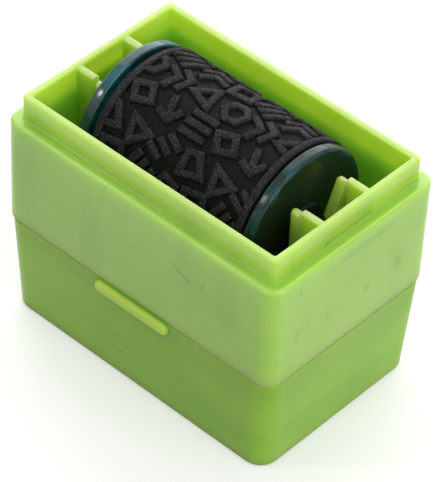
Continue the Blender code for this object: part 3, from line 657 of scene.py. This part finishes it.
def sleeve_radii(places, areas):
    """Radius of the sleeve at each point of the unrolled relief, with its ends rounded off."""
    to_relief = RELIEF_HALF - np.abs(places[:, 0])
    for outlines in areas:
        to_relief = np.minimum(to_relief, distance_to_area(places, outlines))
    drop = np.interp(to_relief, [level[0] for level in LEVELS], [level[1] for level in LEVELS])
    inset = SLEEVE_LENGTH / 2 - np.abs(places[:, 0])
    ends = sorted(END_EDGE)
    return TOP_RADIUS - drop - np.interp(inset, [end[0] for end in ends], [end[1] for end in ends])


def unrolled_relief():
    """Triangles of the sleeve's unrolled outside, their (along, round) points and the radii."""
    points = []
    edges = []

    def add_path(path, closed=False):
        first = len(points)
        points.extend(Vector(point) for point in path)
        edges.extend((i, i + 1) for i in range(first, len(points) - 1))
        if closed:
            edges.append((len(points) - 1, first))

    half = SLEEVE_LENGTH / 2
    for strip in range(STRIPS + 1):
        around = SLEEVE_ROUND * strip / STRIPS
        add_path([(-half, around), (half, around)])
    insets = [inset for inset, _ in END_EDGE] + [END_BAND + grow for grow, _ in LEVELS]
    for side in (-1, 1):
        for inset in insets:
            add_path([(side * (half - inset), 0.0), (side * (half - inset), SLEEVE_ROUND)])
    areas = []
    for path in stroke_paths():
        areas.append(printed_outlines(path, 0.0))
        for grow, _ in LEVELS:
            for outline in printed_outlines(path, grow):
                add_path(outline, True)
    flat, _, triangles, _, _, _ = delaunay_2d_cdt(points, edges, [], 0, SAME_POINT)
    places = np.array([tuple(point) for point in flat])
    return triangles, places, sleeve_radii(places, areas)


def close_sleeve(bm):
    """Close a rolled sleeve with flat ends and a bore, always in the same order."""
    bores = []
    for side in (-1, 1):
        rim = [vert for vert in bm.verts if vert.is_boundary and vert.co.x * side > 0.0]
        # Rounded, so that the seam's point comes first at both ends
        rim.sort(key=lambda vert: round(math.atan2(-vert.co.y, -vert.co.z), 6) % math.tau)
        bore = []
        for vert in rim:
            shrink = BORE_RADIUS / math.hypot(vert.co.y, vert.co.z)
            bore.append(bm.verts.new((vert.co.x, vert.co.y * shrink, vert.co.z * shrink)))
        bores.append(bore)
        for i in range(len(rim)):
            bm.faces.new((rim[i - 1], rim[i], bore[i], bore[i - 1]))
    left, right = bores
    for i in range(len(left)):
        bm.faces.new((left[i - 1], left[i], right[i], right[i - 1]))


def make_die():
    """Printing sleeve: the unrolled relief rolled up with its seam below, its ends and its bore."""
    triangles, places, radii = unrolled_relief()
    bm = bmesh.new()
    outer = []
    for (along, around), radius in zip(places, radii):
        angle = around / TOP_RADIUS
        place = (SLEEVE_X + along, -radius * math.sin(angle), -radius * math.cos(angle))
        outer.append(bm.verts.new(place))
    for corners in triangles:
        bm.faces.new([outer[i] for i in corners])
    to_seam = np.minimum(places[:, 1], SLEEVE_ROUND - places[:, 1])
    seam = [vert for vert, distance in zip(outer, to_seam) if distance < SAME_POINT]
    bmesh.ops.remove_doubles(bm, verts=seam, dist=SAME_POINT)
    close_sleeve(bm)
    bmesh.ops.translate(bm, verts=bm.verts[:], vec=(0.0, 0.0, AXIS_Z))
    die = make_piece(bm, "die_relief", DIE_SHARP, rubber_material())
    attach(die, "roller")
    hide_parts("stamp_die")


# End caps of the roller: the source's section, turned finer and with a softly rounded rim

ROLLER_X = -0.4 * MM
COLLAR_X = 14.55 * MM
FLANGE_X = (17.15 * MM, 19.2 * MM)
HUB_X = 19.85 * MM
STUB_TIP_X = 22.75 * MM
PLUG_X = 9.55 * MM
FLANGE_RADIUS = 13.65 * MM
COLLAR_RADIUS = 12.1 * MM
PLUG_RADII = (6.5 * MM, 7.7 * MM)
HUB_RADIUS = 4.0 * MM
STUB_RADIUS = 2.35 * MM
INNER_ROUND = 0.35 * MM
RIM_ROUND = 0.6 * MM
SMALL_ROUND = 0.14 * MM
TURNS = 144
CAP_SHARP = math.radians(35.0)


def arc(x, radius, size, start, end, steps):
    """Points of an arc in the section, from the start angle to the end angle in degrees."""
    turns = [math.radians(start + (end - start) * step / steps) for step in range(steps + 1)]
    return [(x + size * math.cos(turn), radius + size * math.sin(turn)) for turn in turns]


def end_cap_section():
    """Section (x, radius) from the plug's bore over the flange to the stub's tip."""
    inner, outer = FLANGE_X
    low, high = PLUG_RADII
    small = SMALL_ROUND
    section = [(inner, 0.0), (inner, low), (PLUG_X, low), (PLUG_X, high), (COLLAR_X, high)]
    section += arc(COLLAR_X + small, COLLAR_RADIUS - small, small, 180.0, 90.0, 3)
    section += [(inner, COLLAR_RADIUS)]
    section += arc(inner + INNER_ROUND, FLANGE_RADIUS - INNER_ROUND, INNER_ROUND, 180.0, 90.0, 6)
    section += arc(outer - RIM_ROUND, FLANGE_RADIUS - RIM_ROUND, RIM_ROUND, 90.0, 0.0, 8)
    section += arc(outer + small, HUB_RADIUS + small, small, 180.0, 270.0, 3)
    section += arc(HUB_X - small, HUB_RADIUS - small, small, 90.0, 0.0, 3)
    section += [(HUB_X, STUB_RADIUS)]
    section += arc(STUB_TIP_X - 2 * small, STUB_RADIUS - 2 * small, 2 * small, 90.0, 0.0, 4)
    return section + [(STUB_TIP_X, 0.0)]


def make_end_cap(name, side, material):
    """One end cap, turned about the roller's axis."""
    bm = bmesh.new()
    turns = [math.tau * step / TURNS for step in range(TURNS)]
    rings = []
    for x, radius in end_cap_section():
        place_x = ROLLER_X + side * x
        if radius == 0.0:
            rings.append([bm.verts.new((place_x, 0.0, AXIS_Z))] * TURNS)
            continue
        places = [(place_x, radius * math.sin(t), AXIS_Z + radius * math.cos(t)) for t in turns]
        rings.append([bm.verts.new(place) for place in places])
    for near, far in zip(rings, rings[1:]):
        for i in range(TURNS):
            j = (i + 1) % TURNS
            # A face beside the axis has one corner twice
            bm.faces.new(dict.fromkeys((near[i], near[j], far[j], far[i])))
    piece = make_piece(bm, name + "_turned", CAP_SHARP, material)
    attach(piece, "roller")
    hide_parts(name)


# Stage and light


def seen_directly(tree):
    """1 for what the camera, mirrors and glass see of the backdrop."""
    path = add(tree, "ShaderNodeLightPath")
    total = maths(tree, "ADD", path.outputs["Is Camera Ray"], path.outputs["Is Glossy Ray"])
    total = maths(tree, "ADD", total, path.outputs["Is Transmission Ray"])
    return maths(tree, "MINIMUM", total, 1.0)


WHITE = (1.0, 1.0, 1.0, 1.0)
FLOOR_HALF = 3.0
FLOOR_Z = -0.02 * MM
FLOOR_BOUNCE = 0.35
FLOOR_SEEN = 0.68
FLOOR_GLOW = 0.34
DOME = 0.52


def make_floor():
    """White table: plain to the light it bounces, bright where it is seen."""
    mesh = bpy.data.meshes.new("table_top")
    signs = ((-1, -1), (1, -1), (1, 1), (-1, 1))
    corners = [(x * FLOOR_HALF, y * FLOOR_HALF, FLOOR_Z) for x, y in signs]
    mesh.from_pydata(corners, [], [(0, 1, 2, 3)])
    floor = bpy.data.objects.new("table_top", mesh)
    bpy.context.scene.collection.objects.link(floor)
    material = bpy.data.materials.new("table_white")
    material.use_nodes = True
    tree = material.node_tree
    tree.nodes.clear()
    seen = seen_directly(tree)
    tone = ramp(tree, seen, 0.0, 1.0, FLOOR_BOUNCE, FLOOR_SEEN)
    matt = add(tree, "ShaderNodeBsdfDiffuse", Color=tone)
    strength = maths(tree, "MULTIPLY", seen, FLOOR_GLOW)
    glow = add(tree, "ShaderNodeEmission", Color=WHITE, Strength=strength)
    both = add(tree, "ShaderNodeAddShader")
    tree.links.new(matt.outputs[0], both.inputs[0])
    tree.links.new(glow.outputs[0], both.inputs[1])
    add(tree, "ShaderNodeOutputMaterial", Surface=both.outputs[0])
    mesh.materials.append(material)


def make_world():
    """White surroundings: a dim dome for light, plain white where they are seen."""
    world = bpy.data.worlds.new("studio")
    bpy.context.scene.world = world
    world.use_nodes = True
    tree = world.node_tree
    background = tree.nodes["Background"]
    background.inputs["Color"].default_value = WHITE
    strength = ramp(tree, seen_directly(tree), 0.0, 1.0, DOME, 1.0)
    tree.links.new(strength, background.inputs["Strength"])


LAMPS = (
    # name, strength, angle across in degrees, direction from the object
    ("key_behind_left", 1.92, 66.0, (-0.48, 0.55, 0.50)),
    ("fill_right", 1.5, 60.0, (0.90, -0.10, 0.42)),
    ("overhead", 0.35, 30.0, (0.09, -0.12, 0.99)),
    ("spark_front_left", 0.30, 7.0, (-0.50, -0.58, 0.64)),
)


def make_lamps():
    """A wide key from behind, a fill from the right and a faint small lamp at the front left."""
    for name, strength, across, direction in LAMPS:
        light = bpy.data.lights.new(name, "SUN")
        light.energy = strength
        light.angle = math.radians(across)
        lamp = bpy.data.objects.new(name, light)
        bpy.context.scene.collection.objects.link(lamp)
        away = Vector(direction).normalized()
        lamp.location = AIM + away
        lamp.rotation_mode = "QUATERNION"
        lamp.rotation_quaternion = away.to_track_quat("Z", "Y")


make_camera()
make_floor()
make_world()
make_lamps()
dress_solids()
make_die()
make_end_cap("end_cap_left", -1, teal_material(
    "teal_left", TEAL,
    shift=0.0, specular=0.42, ink_and_shade_inside=9.0 * MM, stained=0.6, pitting=0.0016 * MM,
))
# The right cap: its darker teal and its ink out to nearly the rim are partly dirt and ink, partly
# painted shade of the end face that faces the housing's end wall
make_end_cap("end_cap_right", 1, teal_material(
    "teal_right", TEAL_DIRTY_AND_SHADED,
    shift=0.43, specular=0.24, ink_and_shade_inside=13.1 * MM, stained=0.9, pitting=0.012 * MM,
))
bpy.context.scene.view_settings.view_transform = "Standard"
